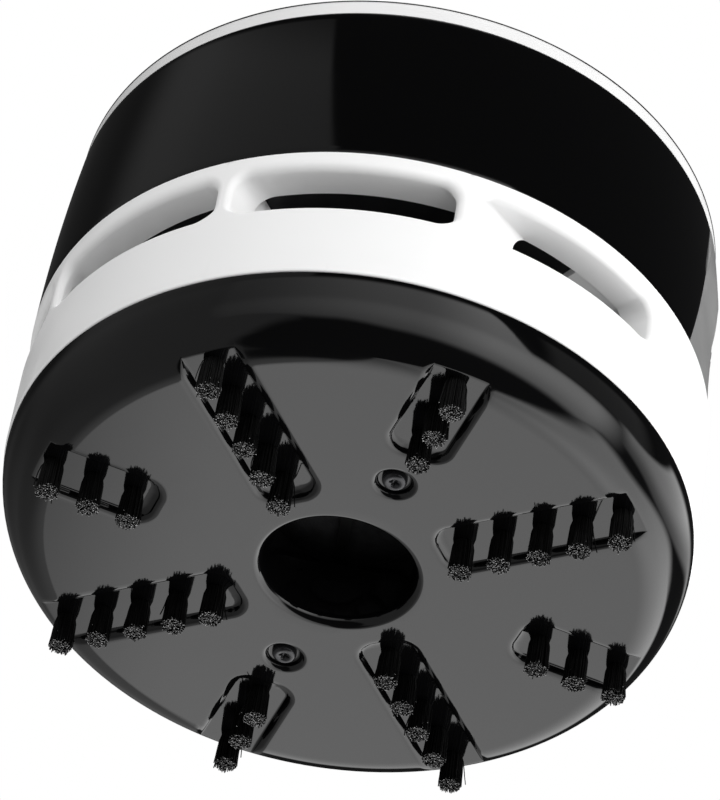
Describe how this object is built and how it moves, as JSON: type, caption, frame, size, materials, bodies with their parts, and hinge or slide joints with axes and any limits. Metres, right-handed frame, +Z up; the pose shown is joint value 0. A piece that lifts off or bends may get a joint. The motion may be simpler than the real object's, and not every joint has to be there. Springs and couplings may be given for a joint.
{
  "type": "desktop mini vacuum cleaner",
  "caption": "Round hand-sized desk vacuum: brush base with suction mouth, twist-off dust cup, slotted vent ring, barrel with slide switch and lift-off cell cover.",
  "frame": {"origin": "centre of the bristle tips, on the surface it stands on", "axes": "+Z up, switch panel faces -Y"},
  "size_m": [0.085, 0.085, 0.0616],
  "materials": {
    "black_gloss": "high-gloss moulded black plastic",
    "white_shell": "semi-gloss moulded white plastic",
    "black_inner": "satin moulded black plastic",
    "cup": "satin moulded dark plastic",
    "bristle": "black nylon bristle",
    "seal": "matte rubber",
    "filter": "non-woven filter cloth",
    "filter_plastic": "satin white plastic",
    "screw": "zinc plated steel",
    "motor_steel": "plain drawn steel",
    "motor_cap": "natural nylon",
    "brass": "stamped brass",
    "contact": "nickel plated spring steel",
    "cell_jacket": "plain shrink sleeve",
    "wire_red": "vinyl sleeve",
    "wire_black": "vinyl sleeve",
    "wire_white": "vinyl sleeve"
  },
  "bodies": {
    "main_body": {"vent_ring": "white_shell", "intake_plate": "black_inner", "intake_screws": "screw", "fan_deck": "black_inner", "deck_screws": "screw", "upper_shell": "white_shell", "wrap_band": "black_gloss", "motor_can": "motor_steel", "motor_end_cap": "motor_cap", "motor_terminals": "brass", "motor_screws": "screw", "battery_tray": "black_inner", "battery_1": "cell_jacket", "battery_2": "cell_jacket", "contact_bridge": "contact", "contact_plus": "contact", "contact_minus": "contact", "contact_springs": "contact", "switch_housing": "motor_steel", "switch_pins": "brass", "wire_red": "wire_red", "wire_black": "wire_black", "wire_white": "wire_white"},
    "dust_cup": {"brush_plate": "black_gloss", "brush_row_1": "bristle", "brush_row_2": "bristle", "brush_row_3": "bristle", "brush_row_4": "bristle", "brush_row_5": "bristle", "brush_row_6": "bristle", "brush_row_7": "bristle", "brush_row_8": "bristle", "plate_screws": "screw", "dust_cup": "cup", "cup_seal": "seal", "filter_frame": "filter_plastic", "filter_disc": "filter"},
    "rotor": {"impeller": "black_inner", "motor_shaft": "motor_steel"},
    "switch": {"switch_slider": "black_gloss"},
    "cover": {"battery_cover": "black_gloss"}
  },
  "joints": [
    {"name": "cup_turn", "type": "hinge", "parent": "main_body", "child": "dust_cup", "pos_m": [0, 0, 0.0128], "axis": [0, 0, 1], "range_deg": [0, 25]},
    {"name": "fan_spin", "type": "hinge", "parent": "main_body", "child": "rotor", "pos_m": [0, 0, 0.026], "axis": [0, 0, 1], "continuous": true},
    {"name": "switch_slide", "type": "slide", "parent": "main_body", "child": "switch", "axis": [0, 0, 1], "range_m": [0, 0.004]},
    {"name": "cover_lift", "type": "slide", "parent": "main_body", "child": "cover", "axis": [0, 0, 1], "range_m": [0, 0.02]}
  ]
}
